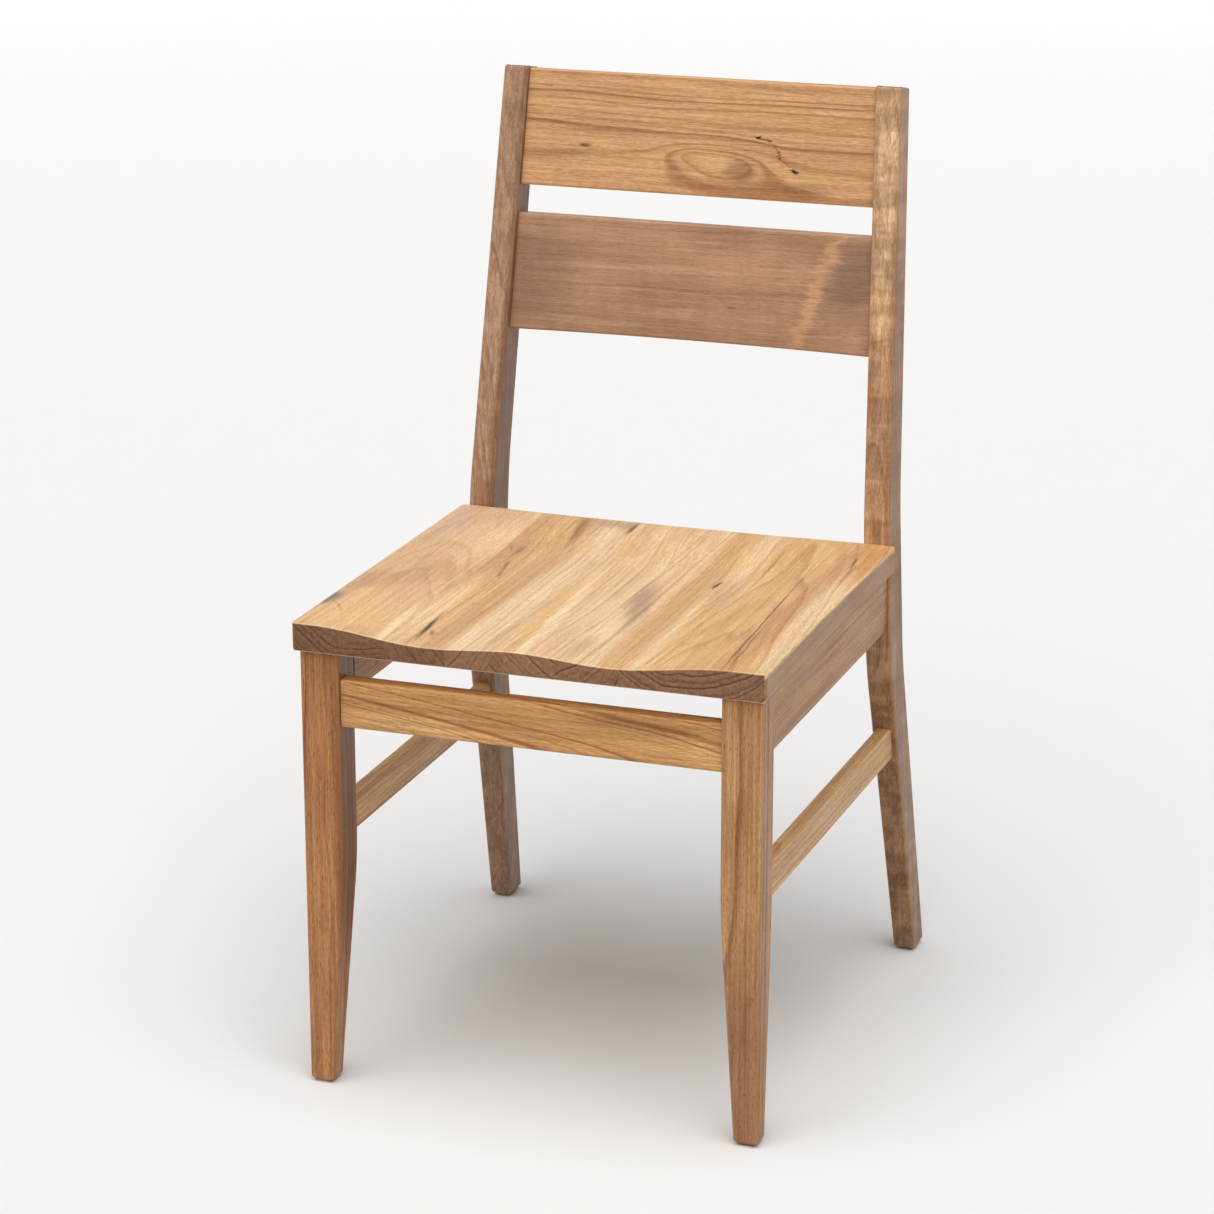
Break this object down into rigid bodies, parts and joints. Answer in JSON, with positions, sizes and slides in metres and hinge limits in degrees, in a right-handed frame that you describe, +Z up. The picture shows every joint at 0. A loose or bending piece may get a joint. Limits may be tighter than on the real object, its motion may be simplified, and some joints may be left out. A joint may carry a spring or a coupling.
{
  "type": "dining chair",
  "caption": "Solid wood dining chair with a scooped seat, straight tapered front legs, bent raked back posts, two wide back slats and low side stretchers",
  "frame": {"origin": "on the floor, under the middle of the chair's bounding box", "axes": "+X to the right seen from the front, +Y from the seat's front edge to the back, +Z up"},
  "size_m": [0.4668, 0.535, 0.892],
  "materials": {
    "seat_wood_pinkish": "satin clear lacquer",
    "seat_wood_brown": "satin clear lacquer",
    "seat_wood_pale": "satin clear lacquer",
    "seat_wood_golden": "satin clear lacquer",
    "rail_wood": "satin clear lacquer",
    "apron_wood": "satin clear lacquer",
    "top_slat_wood": "satin clear lacquer",
    "lower_slat_wood": "satin clear lacquer",
    "leg_wood": "satin clear lacquer",
    "post_wood": "satin clear lacquer",
    "block_wood": "sawn and unfinished",
    "screw_steel": "zinc plated"
  },
  "bodies": {
    "root": {"seat_board_1": "seat_wood_pinkish", "seat_board_2": "seat_wood_brown", "seat_board_3": "seat_wood_pale", "seat_board_4": "seat_wood_pale", "seat_board_5": "seat_wood_golden", "seat_board_6": "seat_wood_golden", "front_rail": "rail_wood", "rear_apron": "apron_wood", "top_slat": "top_slat_wood", "lower_slat": "lower_slat_wood", "front_leg_right": "leg_wood", "back_post_right": "post_wood", "side_apron_right": "apron_wood", "side_stretcher_right": "rail_wood", "front_glue_block_right": "block_wood", "front_seat_screw_right": "screw_steel", "front_apron_screw_right": "screw_steel", "rear_glue_block_right": "block_wood", "rear_seat_screw_right": "screw_steel", "rear_apron_screw_right": "screw_steel", "front_leg_left": "leg_wood", "back_post_left": "post_wood", "side_apron_left": "apron_wood", "side_stretcher_left": "rail_wood", "front_glue_block_left": "block_wood", "front_seat_screw_left": "screw_steel", "front_apron_screw_left": "screw_steel", "rear_glue_block_left": "block_wood", "rear_seat_screw_left": "screw_steel", "rear_apron_screw_left": "screw_steel"}
  },
  "joints": []
}
